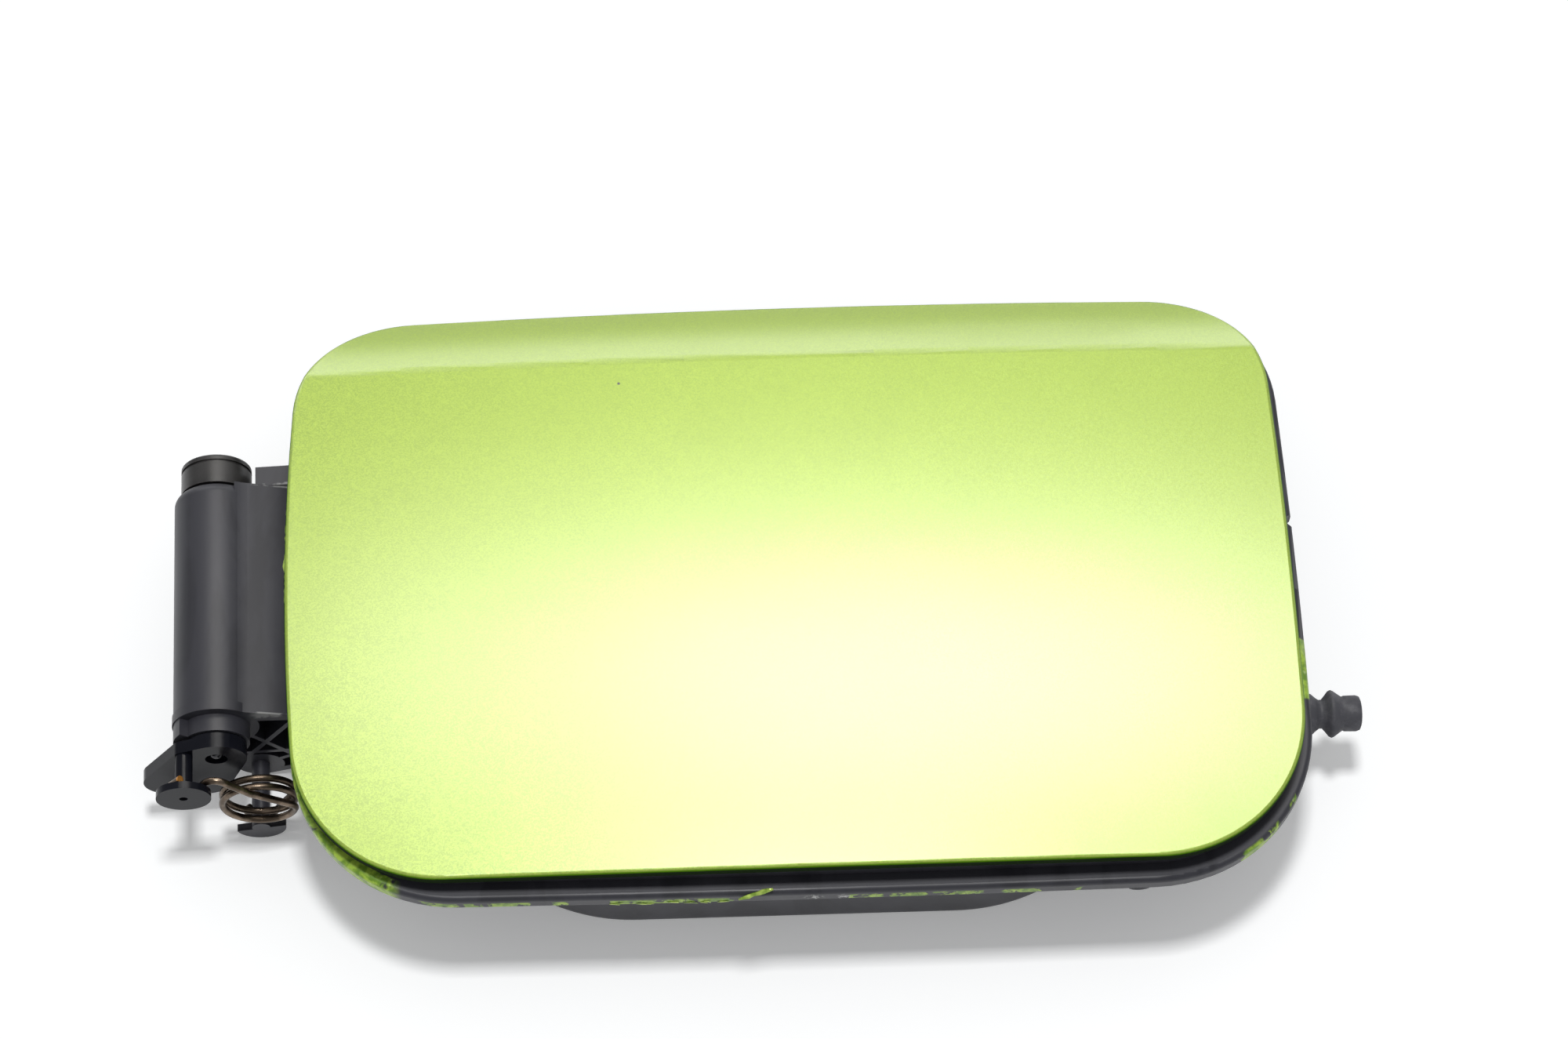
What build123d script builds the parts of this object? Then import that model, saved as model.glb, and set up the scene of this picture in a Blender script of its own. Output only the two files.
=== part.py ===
"""Car fuel door: a painted skin on a moulded carrier that swings on a hinge shaft.

The frame's Y axis is the hinge axis and its origin is the middle of the shaft's far journal.
+X runs from the hinge to the free edge and +Z out of the painted skin. Millimetres.
"""
import os
from math import asin, atan2, cos, degrees, hypot, pi, radians, sin, sqrt, tan

from build123d import *

# Painted skin: its plan, its crown and its edge.
panel_length = 206.5
panel_width = 131.5
panel_turn = -2.4
hinge_to_panel = 15.6
hinge_to_near_edge = 102.3
near_corner_radius = 32.0
far_corner_radius = 25.0
side_bow = 1.4
hinge_edge_near_bow = 5.5
hinge_edge_far_bow = 1.6
long_edge_bow = 0.8
skin_thickness = 1.2
skin_edge_depth = 2.3
skin_edge_round = 0.8
skin_low_height = 11.95
crown_radius_along = 2050.0
crown_radius_across = 1000.0
crown_centre_from_middle = 20.0
crown_centre_across = -5.0
crease_from_far_edge = 16.5
crease_angle = 17.0
crease_radius = 8.0
strip_radius = 70.0
strip_sweep = 40.0

# Carrier: rim under the skin, wall inside the skin's edge and dished inner panel.
bond_gap = 0.25
rim_gap = 0.3
rim_overhang = 2.4
rim_hinge_overhang = 0.4
rim_top = 7.6
rim_thickness = 4.2
rim_round = 1.1
edge_wall = 2.0
notch_width = 2.6
notch_across = 11.9
dish_length = 150.0
dish_near_margin = 3.0
dish_far_margin = 21.5
dish_corner_radius = 42.0
dish_bottom = -25.5
dish_draft = 3.0
dish_wall = 2.2
dish_bottom_round = 5.0

# Hinge barrel and shaft.
barrel_radius = 8.75
barrel_length = 53.1
barrel_round = 2.6
collar_radius = 9.0
collar_length = 2.1
neck_radius = 6.8
neck_length = 3.7
neck_shell_start = 140.0
neck_shell_end = 300.0
shaft_radius = 4.95
shaft_clearance = 0.05
journal_radius = 7.4
journal_length = 6.6
journal_round = 0.5
journal_groove = 1.2
journal_groove_width = 0.6
journal_groove_depth = 0.35
end_clearance = 0.25

# Hinge arm: the sloped plate from the barrel to the dish, with ribs below it.
arm_root_height = 7.0
arm_root_reach = 4.6
arm_blend = 12.0
arm_bite = 0.05
arm_plate = 3.0
arm_rib = 1.9
lattice_rib = 1.1
arm_far_wall = 3.0
near_frame_depth = 8.0
near_frame_pocket = 6.2
gusset_length = 9.5
gusset_width = 4.5
gusset_height = 5.0
far_rib_drop = 14.0

# Crank lever on the near end of the shaft.
hub_radius = 6.2
hub_length = 3.2
lever_thickness = 2.6
lever_end_x = -10.8
lever_end_z = -10.4
lever_end_radius = 5.6
lever_heel_x = -4.0
lever_heel_z = -11.8
lever_heel_radius = 5.2
key_width = 6.4
key_length = 1.7
key_clearance = 0.05
key_round = 0.8
pin_head_radius = 1.5
pin_head_length = 0.7
pin_shank_radius = 0.8
pin_shank_length = 3.6
pin_clearance = 0.05
hub_recess_radius = 2.3
hub_recess_depth = 1.0

# Spring studs: one on the lever, one on the carrier's ribbed end.
stud_x = -6.31
stud_z = 2.18
stud_neck_radius = 1.8
stud_head_radius = 5.55
stud_head_thickness = 1.5
stud_reach = 9.3
stud_root_margin = 0.3
stud_dimple_radius = 0.85
stud_dimple_depth = 0.6
post_x = 6.5
post_z = -19.8
post_neck_radius = 1.9
post_head_radius = 5.2
post_head_thickness = 1.6
post_reach = 7.3
post_flat_drop = 0.4
post_flat_turn = 8.5
post_boss_radius = 5.0

# Over-centre spring.
wire_diameter = 1.5
hook_play = 0.25
coil_radius = 7.35
coil_x = 7.5
coil_z = -8.6
coil_pitch = 1.9
coil_front = 7.5
coil_full_turns = 2
coil_entry = -20.0
leg_first = 6.8
leg_last = 2.4
leg_bend = 2.5
leg_over = 0.45
leg_lift = 0.4
stud_tail = 3.4
stud_hook_start = 140.0
stud_hook_wrap = 185.0
post_hook_wrap = 200.0

# Latch wall at the free edge, with the rubber buffer and the eye for the locking pin.
latch_wall = 2.2
latch_wall_inset = 0.5
latch_wall_bottom = -13.0
latch_wall_width = 66.0
latch_wall_middle = -5.5
latch_rib = 2.0
buffer_across = -27.0
buffer_height = -5.0
buffer_groove_radius = 2.9
buffer_fit = 0.05
buffer_barb_radius = 4.0
buffer_barb_length = 4.5
buffer_base_radius = 4.8
buffer_base_length = 2.4
buffer_neck_radius = 2.8
buffer_neck_length = 1.4
buffer_bulge_radius = 5.0
buffer_bulge_length = 4.0
buffer_tip_radius = 3.75
buffer_tip_length = 7.0
buffer_tip_round = 1.3
lock_across = 9.0
lock_height = -4.5
lock_bore_radius = 4.2
lock_eye_wall = 2.2
lock_eye_length = 9.0

# Places worked out from the sizes above.
rim_bottom = rim_top - rim_thickness
barrel_far = -journal_length / 2 - end_clearance
barrel_near = barrel_far - barrel_length
neck_near = barrel_near - neck_length
hub_back = neck_near - end_clearance
hub_face = hub_back - hub_length
wire_radius = wire_diameter / 2
panel_middle_x = hinge_to_panel + panel_length / 2
panel_middle_y = -hinge_to_near_edge + panel_width / 2
panel_plane = Plane(
    origin=(panel_middle_x, panel_middle_y, 0),
    x_dir=(cos(radians(panel_turn)), sin(radians(panel_turn)), 0),
    z_dir=(0, 0, 1),
)
half_length = panel_length / 2
half_width = panel_width / 2
crease_across = half_width - crease_from_far_edge
crown_rise_along = (half_length + crown_centre_from_middle) ** 2 / (2 * crown_radius_along)
crown_rise_across = (half_width + crown_centre_across) ** 2 / (2 * crown_radius_across)
crown_top = skin_low_height + crown_rise_along + crown_rise_across
free_end_face = half_length - latch_wall_inset


def rounded_panel(inset, hinge_inset):
    """Plan of the panel: bowed edges and round corners, drawn in by an inset and another at the hinge side."""
    end = half_length - inset
    hinge_end = half_length - hinge_inset
    edge = half_width - inset
    free_corner = end - side_bow
    near_hinge_corner = -hinge_end + hinge_edge_near_bow
    far_hinge_corner = -hinge_end + hinge_edge_far_bow
    corner_y = edge - long_edge_bow
    with BuildSketch() as plan:
        with BuildLine():
            ThreePointArc((near_hinge_corner, -corner_y), (0, -edge), (free_corner, -corner_y))
            ThreePointArc((free_corner, -corner_y), (end, 0), (free_corner, corner_y))
            ThreePointArc((free_corner, corner_y), (0, edge), (far_hinge_corner, corner_y))
            ThreePointArc((far_hinge_corner, corner_y), (-hinge_end, 0), (near_hinge_corner, -corner_y))
        make_face()
        fillet(plan.vertices().group_by(Axis.Y)[0], radius=near_corner_radius - inset)
        fillet(plan.vertices().group_by(Axis.Y)[-1], radius=far_corner_radius - inset)
    return plan.sketch


def crowned_body(drop, bowed):
    """Everything under the skin's outer surface, lowered by the drop: a drum with a crease and a bowed or straight strip."""
    axis_height = crown_top - crown_radius_along
    across = Plane(
        origin=panel_plane.from_local_coords(Vector(crown_centre_from_middle, 0, axis_height)),
        x_dir=panel_plane.y_dir,
        z_dir=-panel_plane.x_dir,
    )
    turn = radians(crease_angle)
    if not bowed:
        turn = turn + asin((crease_from_far_edge + rim_overhang) / (2 * strip_radius))
    lean = asin((crease_across - crown_centre_across) / crown_radius_across)
    arc_middle = -crown_radius_along + crown_radius_across
    outer = crown_radius_across - drop
    bend = crease_radius - drop
    bend_across = crown_centre_across + (crown_radius_across - crease_radius) * sin(lean)
    bend_down = arc_middle - (crown_radius_across - crease_radius) * cos(lean)
    near_lean = -asin((panel_width - crown_centre_across) / crown_radius_across)
    strip_start = (bend_across + bend * sin(turn), bend_down - bend * cos(turn))
    strip = strip_radius - drop
    strip_across = bend_across - (strip_radius - crease_radius) * sin(turn)
    strip_down = bend_down + (strip_radius - crease_radius) * cos(turn)
    half_sweep = turn + radians(strip_sweep / 2)
    full_sweep = turn + radians(strip_sweep)
    strip_mid = (strip_across + strip * sin(half_sweep), strip_down - strip * cos(half_sweep))
    strip_end = (strip_across + strip * sin(full_sweep), strip_down - strip * cos(full_sweep))
    straight_end = (strip_start[0] + strip_radius, strip_start[1] + strip_radius * tan(turn))
    outer_end = strip_end if bowed else straight_end
    near_end = (crown_centre_across + outer * sin(near_lean), arc_middle - outer * cos(near_lean))
    arc_mid = (crown_centre_across, arc_middle - outer)
    arc_end = (crown_centre_across + outer * sin(lean), arc_middle - outer * cos(lean))
    bend_turn = (lean + turn) / 2
    bend_mid = (bend_across + bend * sin(bend_turn), bend_down - bend * cos(bend_turn))
    with BuildPart() as drum:
        with BuildSketch(across):
            with BuildLine():
                ThreePointArc(near_end, arc_mid, arc_end)
                ThreePointArc(arc_end, bend_mid, strip_start)
                if bowed:
                    ThreePointArc(strip_start, strip_mid, strip_end)
                else:
                    Line(strip_start, straight_end)
                Polyline(outer_end, (outer_end[0], 0), (near_end[0], 0), near_end)
            make_face()
        revolve(axis=Axis(across.origin, panel_plane.y_dir), revolution_arc=360)
    return drum.part


above_all = crown_top + 10.0
rim_drop = skin_edge_depth + rim_gap
seat_inset = skin_thickness + bond_gap

# The painted skin: a crowned plate with its edge turned down over the carrier's wall.
with BuildPart() as skin_core:
    with BuildSketch(panel_plane):
        add(rounded_panel(skin_thickness, skin_thickness))
    extrude(amount=above_all)
    add(crowned_body(skin_thickness, True), mode=Mode.INTERSECT)

with BuildPart() as door_skin:
    with BuildSketch(panel_plane):
        add(rounded_panel(0, 0))
    extrude(amount=above_all)
    add(crowned_body(0, True), mode=Mode.INTERSECT)
    add(crowned_body(skin_edge_depth, True), mode=Mode.SUBTRACT)
    outer_faces = door_skin.faces().filter_by(lambda face: face.normal_at().Z > 0.5)
    side_faces = door_skin.faces().filter_by(lambda face: abs(face.normal_at().Z) < 0.1)
    brow = [edge for edge in outer_faces.edges() if any(edge.is_same(rim) for rim in side_faces.edges())]
    fillet(brow, radius=skin_edge_round)
    add(skin_core.part, mode=Mode.SUBTRACT)
door_skin.part.label = "door_skin"


def rim_slab(top, drop):
    """The rim's plan, solid from under the dish up to a level or the lowered crown, whichever is lower."""
    with BuildPart() as slab:
        with BuildSketch(panel_plane.offset(dish_bottom)):
            add(rounded_panel(-rim_overhang, -rim_hinge_overhang))
        extrude(amount=top - dish_bottom)
        add(crowned_body(drop, False), mode=Mode.INTERSECT)
    return slab.part


def dish_body(wall, top, bottom):
    """The dished inner panel as a drafted tub, drawn in by a wall and rounded at its bottom edge."""
    middle = (dish_near_margin - dish_far_margin) / 2
    width = panel_width - dish_near_margin - dish_far_margin
    with BuildPart() as tub:
        for level in (top, bottom):
            inset = wall + (rim_bottom - level) * tan(radians(dish_draft))
            with BuildSketch(panel_plane.offset(level)):
                with Locations((0, middle)):
                    RectangleRounded(dish_length - 2 * inset, width - 2 * inset, dish_corner_radius - inset)
        loft()
        fillet(tub.edges().group_by(Axis.Z)[0], radius=dish_bottom_round - wall)
    return tub.part


# Hinge arm, seen along the hinge: the plate that leaves the barrel with a hollow blend and slopes to the rim.
arm_end = panel_middle_x - dish_length / 2 + dish_wall
rim_left = hinge_to_panel - rim_hinge_overhang
arm_slope = Vector(rim_left - arm_root_reach, rim_bottom - arm_root_height).normalized()
arm_above = Vector(-arm_slope.Y, arm_slope.X)
blend_away = barrel_radius + arm_blend - arm_bite
blend_lift = arm_above.dot(Vector(arm_root_reach, arm_root_height)) + arm_blend
blend_centre = arm_above * blend_lift + arm_slope * sqrt(blend_away**2 - blend_lift**2)
blend_start = blend_centre * ((barrel_radius - arm_bite) / blend_away)
blend_end = blend_centre - arm_above * arm_blend
blend_middle = blend_centre - (arm_above + blend_centre.normalized()).normalized() * arm_blend
hinge_far = Plane.XZ.offset(-barrel_far)
hinge_near = Plane.XZ.offset(-barrel_near)
stud_plane = Plane.XZ.offset(-hub_face)
free_end_plane = Plane(
    origin=panel_plane.from_local_coords(Vector(free_end_face, 0, 0)),
    x_dir=panel_plane.y_dir,
    z_dir=panel_plane.x_dir,
)

# Crossing ribs of the arm's near end: each runs between two points of the frame.
frame_low = rim_bottom - arm_plate - far_rib_drop
lattice = [
    ((rim_left - arm_rib, rim_bottom - 2 * arm_plate), (post_x - post_boss_radius, post_z)),
    ((barrel_radius, rim_bottom - 4 * arm_plate), (post_x + 2 * post_boss_radius, post_z)),
    ((post_x, post_z), (arm_end, rim_bottom - arm_plate)),
    ((post_x, frame_low), (arm_end, frame_low)),
]

with BuildPart() as edge_ring:
    with BuildSketch(panel_plane.offset(rim_bottom)):
        add(rounded_panel(seat_inset, seat_inset))
        add(rounded_panel(seat_inset + edge_wall, seat_inset + edge_wall), mode=Mode.SUBTRACT)
    extrude(amount=above_all)
    add(crowned_body(seat_inset, True), mode=Mode.INTERSECT)

# The carrier: rim, edge wall, dish, hinge arm, barrel, spring post and latch wall in one moulding.
with BuildPart() as carrier:
    add(rim_slab(rim_top, rim_drop))
    add(rim_slab(rim_bottom, rim_drop + rim_thickness), mode=Mode.SUBTRACT)
    rim_sides = carrier.faces().filter_by(lambda face: abs(face.normal_at().Z) < 0.1)
    rim_skins = carrier.faces().filter_by(lambda face: abs(face.normal_at().Z) > 0.5)
    lips = [edge for edge in rim_sides.edges() if any(edge.is_same(other) for other in rim_skins.edges())]
    fillet(lips, radius=rim_round)
    add(edge_ring.part)
    add(dish_body(0, rim_bottom, dish_bottom))

    # The free edge has a small notch in its rim.
    with BuildSketch(panel_plane.offset(dish_bottom)):
        with Locations((half_length + rim_overhang, notch_across)):
            Circle(notch_width / 2)
    extrude(amount=above_all - dish_bottom, mode=Mode.SUBTRACT)

    # Latch wall under the free edge, tied to the dish by ribs.
    with BuildSketch(panel_plane.offset(rim_bottom + rim_round)):
        with Locations((free_end_face - latch_wall / 2, latch_wall_middle)):
            Rectangle(latch_wall, latch_wall_width)
    extrude(amount=latch_wall_bottom - rim_bottom - rim_round)
    for across in (-latch_wall_width / 2 + latch_rib, latch_wall_width / 2 - latch_rib):
        rib_plane = Plane(
            origin=panel_plane.from_local_coords(Vector(0, latch_wall_middle + across, 0)),
            x_dir=panel_plane.x_dir,
            z_dir=-panel_plane.y_dir,
        )
        rib_root = dish_length / 2 - dish_bottom_round
        with BuildSketch(rib_plane):
            with BuildLine():
                Polyline(
                    (rib_root, rim_bottom + rim_round),
                    (free_end_face - latch_wall / 2, rim_bottom + rim_round),
                    (free_end_face - latch_wall / 2, latch_wall_bottom),
                    (rib_root, dish_bottom + 2 * dish_bottom_round),
                    close=True,
                )
            make_face()
        extrude(amount=latch_rib / 2, both=True)

    # Hinge barrel with a round far shoulder, its collar, and a neck with a shell round its lower left.
    with BuildSketch(hinge_far):
        Circle(barrel_radius)
    extrude(amount=barrel_length)
    shoulder = carrier.edges(Select.LAST).group_by(Axis.Y)[-1]
    fillet(shoulder, radius=barrel_round)
    with BuildSketch(hinge_near):
        Circle(collar_radius)
    extrude(amount=-collar_length)
    with BuildSketch(hinge_near):
        Circle(neck_radius)
    extrude(amount=neck_length)
    with BuildSketch(hinge_near):
        with BuildLine():
            shell = CenterArc((0, 0), barrel_radius, neck_shell_start, neck_shell_end - neck_shell_start)
            Polyline(shell @ 1, (0, 0), shell @ 0)
        make_face()
    extrude(amount=neck_length)
    with BuildSketch(hinge_far):
        with BuildLine():
            ThreePointArc(blend_start, blend_middle, blend_end)
            Polyline(
                blend_end,
                (rim_left, rim_bottom),
                (arm_end, rim_bottom),
                (arm_end, rim_bottom - arm_plate),
                (rim_left, rim_bottom - arm_plate),
                (arm_root_reach, arm_root_height - arm_plate),
                blend_start,
            )
        make_face()
    extrude(amount=barrel_length)

    # Far end of the arm: a drop rib, and a gusset block beside the journal.
    with BuildSketch(hinge_far):
        Circle(barrel_radius / 2)
        with Locations((arm_end - arm_rib, rim_bottom - arm_plate - far_rib_drop / 2)):
            Rectangle(2 * arm_rib, far_rib_drop)
        make_hull()
    extrude(amount=arm_far_wall)
    with BuildSketch(hinge_far):
        with Locations((barrel_radius + gusset_length / 2, rim_bottom + rim_round - gusset_height / 2)):
            Rectangle(gusset_length, gusset_height)
    extrude(amount=-gusset_width)

    # Near end of the arm: a deep frame with crossing ribs, open toward the crank.
    with BuildSketch(hinge_near) as near_frame:
        Circle(barrel_radius / 2)
        with Locations((post_x, post_z)):
            Circle(post_boss_radius)
        with Locations((arm_end - arm_rib, rim_bottom - arm_plate - far_rib_drop / 2)):
            Rectangle(2 * arm_rib, far_rib_drop)
        make_hull()
    extrude(amount=-near_frame_depth)
    with BuildSketch(hinge_near):
        add(near_frame.sketch.faces()[0].moved(hinge_near.location.inverse()))
        offset(amount=-arm_rib, kind=Kind.INTERSECTION)
        Circle(barrel_radius, mode=Mode.SUBTRACT)
        with Locations((post_x, post_z)):
            Circle(post_boss_radius, mode=Mode.SUBTRACT)
        for start, end in lattice:
            run = Vector(end[0] - start[0], end[1] - start[1])
            middle = ((start[0] + end[0]) / 2, (start[1] + end[1]) / 2)
            with Locations(Location(middle, degrees(atan2(run.Y, run.X)))):
                Rectangle(run.length + near_frame_depth, lattice_rib, mode=Mode.SUBTRACT)
    extrude(amount=-near_frame_pocket, mode=Mode.SUBTRACT)

    # Spring post on the ribbed end: a half-moon head, and the neck through it.
    with BuildSketch(stud_plane.offset(post_reach)):
        with Locations((post_x, post_z)):
            Circle(post_head_radius)
        with Locations(Location((post_x, post_z), post_flat_turn)):
            with Locations((0, post_head_radius - post_flat_drop)):
                Rectangle(3 * post_head_radius, 2 * post_head_radius, mode=Mode.SUBTRACT)
    extrude(amount=-post_head_thickness)
    with BuildSketch(hinge_near):
        with Locations((post_x, post_z)):
            Circle(post_neck_radius)
    extrude(amount=barrel_near - hub_face + post_reach)

    # Eye for the locking pin and hole for the buffer, both through the latch wall.
    with BuildSketch(free_end_plane):
        with Locations((lock_across, lock_height)):
            Circle(lock_bore_radius + lock_eye_wall)
    extrude(amount=-lock_eye_length)
    with BuildSketch(free_end_plane):
        with Locations((lock_across, lock_height)):
            Circle(lock_bore_radius)
        with Locations((buffer_across, buffer_height)):
            Circle(buffer_groove_radius + buffer_fit)
    extrude(amount=-lock_eye_length, mode=Mode.SUBTRACT)

    # The dish is hollow under the skin, and the barrel is bored for the shaft.
    add(dish_body(dish_wall, rim_top, dish_bottom + dish_wall), mode=Mode.SUBTRACT)
    with BuildSketch(hinge_far):
        Circle(shaft_radius + shaft_clearance)
    extrude(amount=barrel_length + neck_length, mode=Mode.SUBTRACT)
carrier.part.label = "carrier"

# Hinge shaft: the wide far journal with its end lip, the shaft and the square key for the crank.
with BuildPart() as hinge_shaft:
    with BuildSketch(Plane.XZ.offset(-journal_length / 2)):
        Circle(journal_radius)
    extrude(amount=journal_length)
    far_rim = hinge_shaft.edges().group_by(Axis.Y)[-1]
    fillet(far_rim, radius=journal_round)
    with BuildSketch(Plane.XZ.offset(journal_groove - journal_length / 2)):
        Circle(journal_radius)
        Circle(journal_radius - journal_groove_depth, mode=Mode.SUBTRACT)
    extrude(amount=journal_groove_width, mode=Mode.SUBTRACT)
    with BuildSketch(Plane.XZ.offset(journal_length / 2)):
        Circle(shaft_radius)
    extrude(amount=-hub_back - journal_length / 2)
    with BuildSketch(Plane.XZ.offset(-hub_back)):
        RectangleRounded(key_width, key_width, key_round)
    extrude(amount=key_length)
    with BuildSketch(Plane.XZ.offset(key_length - hub_back)):
        Circle(pin_shank_radius + pin_clearance)
    extrude(amount=-pin_shank_length, mode=Mode.SUBTRACT)
hinge_shaft.part.label = "hinge_shaft"

# Crank lever: hub and rounded plate, the spring's stud, and pockets for the key and the pin.
with BuildPart() as crank_lever:
    with BuildSketch(stud_plane):
        Circle(hub_radius)
    extrude(amount=-hub_length)
    with BuildSketch(stud_plane):
        Circle(hub_radius)
        with Locations((stud_x, stud_z)):
            Circle(stud_neck_radius + stud_root_margin)
        with Locations((lever_end_x, lever_end_z)):
            Circle(lever_end_radius)
        with Locations((lever_heel_x, lever_heel_z)):
            Circle(lever_heel_radius)
        make_hull()
    extrude(amount=-lever_thickness)
    with BuildSketch(stud_plane):
        with Locations((stud_x, stud_z)):
            Circle(stud_neck_radius)
    extrude(amount=stud_reach)
    with BuildSketch(stud_plane.offset(stud_reach)):
        with Locations((stud_x, stud_z)):
            Circle(stud_head_radius)
    extrude(amount=-stud_head_thickness)
    with BuildSketch(stud_plane.offset(stud_reach)):
        with Locations((stud_x, stud_z)):
            Circle(stud_dimple_radius)
    extrude(amount=-stud_dimple_depth, mode=Mode.SUBTRACT)
    with BuildSketch(stud_plane):
        Circle(hub_recess_radius)
    extrude(amount=-hub_recess_depth, mode=Mode.SUBTRACT)
    with BuildSketch(stud_plane):
        Circle(pin_shank_radius + pin_clearance)
    extrude(amount=-hub_length, mode=Mode.SUBTRACT)
    with BuildSketch(Plane.XZ.offset(-hub_back)):
        RectangleRounded(key_width + 2 * key_clearance, key_width + 2 * key_clearance, key_round)
    extrude(amount=key_length + key_clearance, mode=Mode.SUBTRACT)
crank_lever.part.label = "crank_lever"

# Domed pin that holds the crank on the shaft, sunk in the hub's recess.
with BuildPart() as crank_pin:
    seat = hub_recess_depth
    with BuildSketch(Plane(origin=(0, hub_face, 0), x_dir=(1, 0, 0), z_dir=(0, 0, 1))):
        with BuildLine():
            Polyline((0, seat + pin_shank_length - pin_clearance), (0, seat - pin_head_length))
            ThreePointArc(
                (0, seat - pin_head_length),
                (pin_head_radius * sin(radians(45)), seat - pin_head_length * sin(radians(45))),
                (pin_head_radius, seat),
            )
            Polyline(
                (pin_head_radius, seat),
                (pin_shank_radius, seat),
                (pin_shank_radius, seat + pin_shank_length - pin_clearance),
                (0, seat + pin_shank_length - pin_clearance),
            )
        make_face()
    revolve(axis=Axis.Y, revolution_arc=360)
crank_pin.part.label = "crank_pin"

# Over-centre spring: hook on the stud, leg across the coil's front, coil, leg down to the hook on the post.
stud_hook = stud_neck_radius + hook_play + wire_radius
post_hook = post_neck_radius + hook_play + wire_radius
stud_hook_y = hub_face - stud_reach + stud_head_thickness + hook_play + wire_radius
coil_front_y = hub_face - coil_front
stud_centre = Vector(stud_x, stud_hook_y, stud_z)
coil_centre = Vector(coil_x, coil_front_y, coil_z)
climb = coil_pitch / (2 * pi * coil_radius)
hook_start_angle = radians(stud_hook_start)
hook_middle_angle = radians(stud_hook_start + stud_hook_wrap / 2)
hook_end_angle = radians(stud_hook_start + stud_hook_wrap)
hook_start = stud_centre + Vector(cos(hook_start_angle), 0, sin(hook_start_angle)) * stud_hook
hook_middle = stud_centre + Vector(cos(hook_middle_angle), 0, sin(hook_middle_angle)) * stud_hook
hook_end = stud_centre + Vector(cos(hook_end_angle), 0, sin(hook_end_angle)) * stud_hook
tail_end = hook_start + Vector(sin(hook_start_angle), 0, -cos(hook_start_angle)) * stud_tail
coil_start_angle = radians(coil_entry)
coil_start = coil_centre + Vector(cos(coil_start_angle), 0, sin(coil_start_angle)) * coil_radius
coil_run = Vector(sin(coil_start_angle), climb, -cos(coil_start_angle))
leg_top = hook_end + Vector(-sin(hook_end_angle), 0, cos(hook_end_angle)) * leg_first
leg_corner = coil_start - coil_run * leg_last
leg_crossing = leg_top + (leg_corner - leg_top) * leg_over
leg_crossing.Y = coil_front_y - leg_lift

to_post = atan2(post_z - coil_z, post_x - coil_x)
coil_to_post = hypot(post_x - coil_x, post_z - coil_z)
drop_turn = to_post - asin((coil_radius - post_hook) / coil_to_post)
drop_side = Vector(-sin(drop_turn), 0, cos(drop_turn))
coil_end_angle = drop_turn + radians(90)
coil_turns = coil_full_turns + ((degrees(coil_start_angle - coil_end_angle)) % 360) / 360
coil_height = coil_pitch * coil_turns
coil_back_y = coil_front_y + coil_height
coil_plane = Plane(
    origin=coil_centre,
    x_dir=(cos(coil_start_angle), 0, sin(coil_start_angle)),
    z_dir=(0, 1, 0),
)
# The leg to the post keeps its line seen along the hinge, and eases out of the coil's climb.
drop_length = sqrt(coil_to_post**2 - (coil_radius - post_hook) ** 2)
drop_start = Vector(coil_x, coil_back_y, coil_z) + drop_side * coil_radius
drop_plane = Plane(origin=drop_start, x_dir=(cos(drop_turn), 0, sin(drop_turn)), z_dir=drop_side)
drop_climb = climb * drop_plane.y_dir.Y
drop_shift = drop_climb * drop_length / 2
drop_end = drop_plane.from_local_coords(Vector(drop_length, drop_shift, 0))
loop_centre = drop_end - drop_side * post_hook
loop_end_angle = drop_turn + radians(90) - radians(post_hook_wrap)
loop_middle_angle = drop_turn + radians(90) - radians(post_hook_wrap / 2)
loop_end = loop_centre + Vector(cos(loop_end_angle), 0, sin(loop_end_angle)) * post_hook
loop_middle = loop_centre + Vector(cos(loop_middle_angle), 0, sin(loop_middle_angle)) * post_hook
leg_bends = [hook_end, leg_top, leg_crossing, leg_corner, coil_start]
drop_bends = [
    drop_start,
    drop_plane.from_local_coords(Vector(drop_length / 2, drop_shift)),
    drop_end,
]
with BuildPart() as overcentre_spring:
    with BuildLine() as stud_end:
        Line(tail_end, hook_start)
        ThreePointArc(hook_start, hook_middle, hook_end)
        FilletPolyline(*leg_bends, radius=leg_bend)
    with BuildSketch(stud_end.line ^ 0):
        Circle(wire_radius)
    sweep(path=stud_end.line)
    with BuildLine() as coil:
        add(coil_plane.location * Helix(coil_pitch, coil_height, coil_radius, mode=Mode.PRIVATE))
    with BuildSketch(coil.line ^ 0):
        Circle(wire_radius)
    sweep(path=coil.line, is_frenet=True)
    with BuildLine() as post_end:
        FilletPolyline(*drop_bends, radius=drop_length)
        ThreePointArc(drop_end, loop_middle, loop_end)
    with BuildSketch(post_end.line ^ 0):
        Circle(wire_radius)
    sweep(path=post_end.line)
overcentre_spring.part.label = "overcentre_spring"

# Rubber buffer: barb behind the latch wall, groove in its hole, then cone, neck, bulge and tip.
buffer_stations = [
    (-latch_wall - buffer_barb_length, 0),
    (-latch_wall - buffer_barb_length, buffer_groove_radius),
    (-latch_wall, buffer_barb_radius),
    (-latch_wall, buffer_groove_radius),
    (0, buffer_groove_radius),
    (0, buffer_base_radius),
    (buffer_base_length, buffer_neck_radius),
    (buffer_base_length + buffer_neck_length, buffer_neck_radius),
    (buffer_base_length + buffer_neck_length + buffer_bulge_length / 2, buffer_bulge_radius),
    (buffer_base_length + buffer_neck_length + buffer_bulge_length, buffer_tip_radius),
    (buffer_base_length + buffer_neck_length + buffer_bulge_length + buffer_tip_length, buffer_tip_radius),
    (buffer_base_length + buffer_neck_length + buffer_bulge_length + buffer_tip_length, 0),
]
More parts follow.
